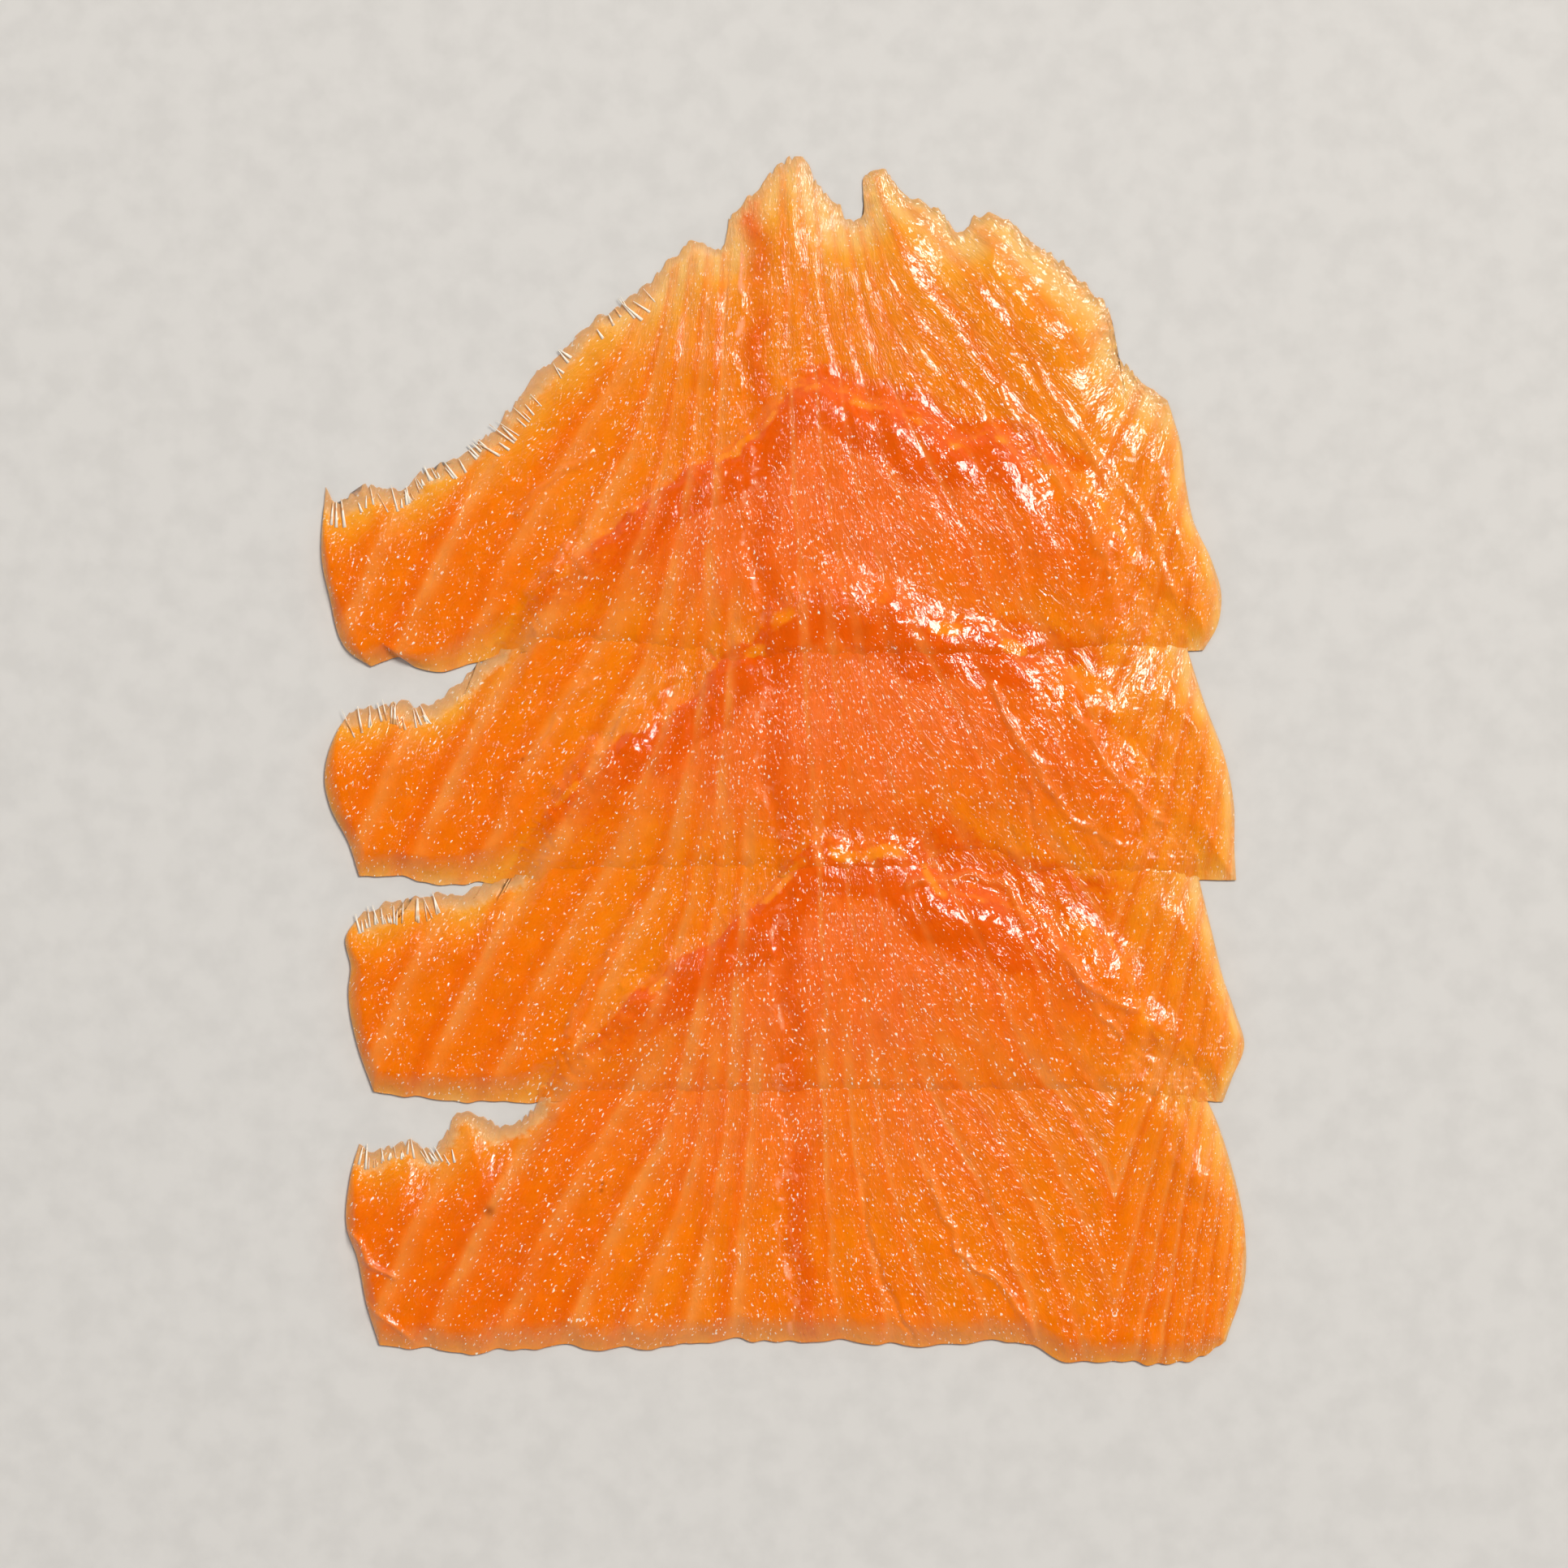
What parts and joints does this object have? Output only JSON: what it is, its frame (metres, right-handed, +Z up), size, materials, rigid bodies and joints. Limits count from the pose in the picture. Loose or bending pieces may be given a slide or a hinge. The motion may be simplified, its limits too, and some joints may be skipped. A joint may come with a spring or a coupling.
{
  "type": "smoked salmon slices",
  "caption": "Thin lobed slices of cold-smoked salmon laid one over the next like roof tiles, with straight front edges and thin ragged back edges.",
  "frame": {"origin": "middle of the slices' bounding box, on the surface they lie on", "axes": "+Z up through the slices' thickness; +Y from the front slice towards the back one, whose thin edge points that way; +X to the right seen from above"},
  "size_m": [0.1605, 0.2092, 0.0085],
  "materials": {
    "flesh_back": "moist smoked salmon flesh, glossy, orange, thin and cream-coloured at its back edge",
    "flesh_second": "moist smoked salmon flesh, glossy, orange with pink bands",
    "flesh_third": "moist smoked salmon flesh, glossy, orange with pink bands",
    "flesh_front": "moist smoked salmon flesh, glossy, orange with fine bands that fan out to the front edge"
  },
  "bodies": {
    "root": {"slice_1": "flesh_back", "slice_2": "flesh_second", "slice_3": "flesh_third", "slice_4": "flesh_front"}
  },
  "joints": []
}
